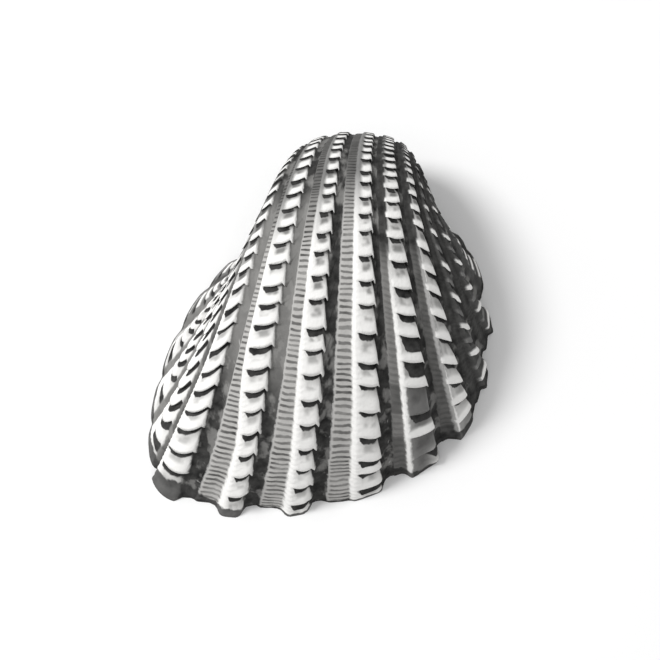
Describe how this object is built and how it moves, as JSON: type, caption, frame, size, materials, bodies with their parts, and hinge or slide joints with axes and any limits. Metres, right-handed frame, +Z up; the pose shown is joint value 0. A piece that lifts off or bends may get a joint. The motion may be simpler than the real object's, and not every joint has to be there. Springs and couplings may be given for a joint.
{
  "type": "cockle shell",
  "caption": "Single valve of an inflated cockle shell with strong scaly ribs, curled beak and toothed hinge, lying on its rim.",
  "frame": {"origin": "on the surface the valve rests on, under the middle of its box", "axes": "+X towards the front end of the hinge, +Y towards the beak, +Z up, out of the outside of the valve"},
  "size_m": [0.041, 0.0452, 0.0196],
  "materials": {
    "shell": "chalky, off-white crests with grey furrows"
  },
  "bodies": {
    "root": {"valve": "shell"}
  },
  "joints": []
}
